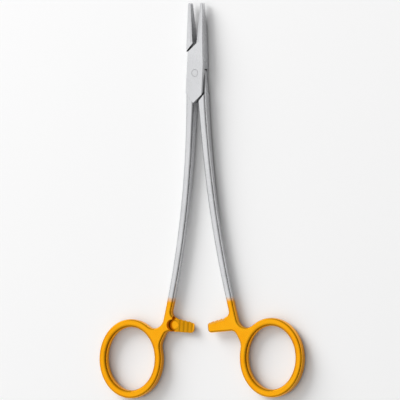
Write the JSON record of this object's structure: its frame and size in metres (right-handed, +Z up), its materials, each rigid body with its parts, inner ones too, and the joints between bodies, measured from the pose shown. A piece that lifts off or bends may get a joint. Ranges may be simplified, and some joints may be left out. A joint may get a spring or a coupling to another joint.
{
  "type": "surgical needle holder",
  "caption": "Slender box-lock needle holder with cross-hatched jaw inserts, ratcheted shanks and gilt oval finger rings, lying partly open.",
  "frame": {"origin": "on the pivot axis, at the underside of the box lock, which is the plane the instrument rests on", "axes": "+Z up out of the box lock along the pivot; +Y along the instrument to the jaw tips; +X to the right, towards the male arm's ring"},
  "size_m": [0.1024, 0.1778, 0.0056],
  "materials": {
    "steel": "satin",
    "pin_steel": "ground",
    "carbide": "cross-hatched"
  },
  "bodies": {
    "female_half": {"female_arm": "steel", "pivot_pin": "pin_steel", "female_jaw_insert": "carbide"},
    "male_half": {"male_arm": "steel", "male_jaw_insert": "carbide"}
  },
  "joints": [
    {"name": "box_lock_pivot", "type": "hinge", "parent": "female_half", "child": "male_half", "pos_m": [0, 0, 0.0028], "axis": [0, 0, 1], "range_deg": [-8.4, 41.6]}
  ]
}
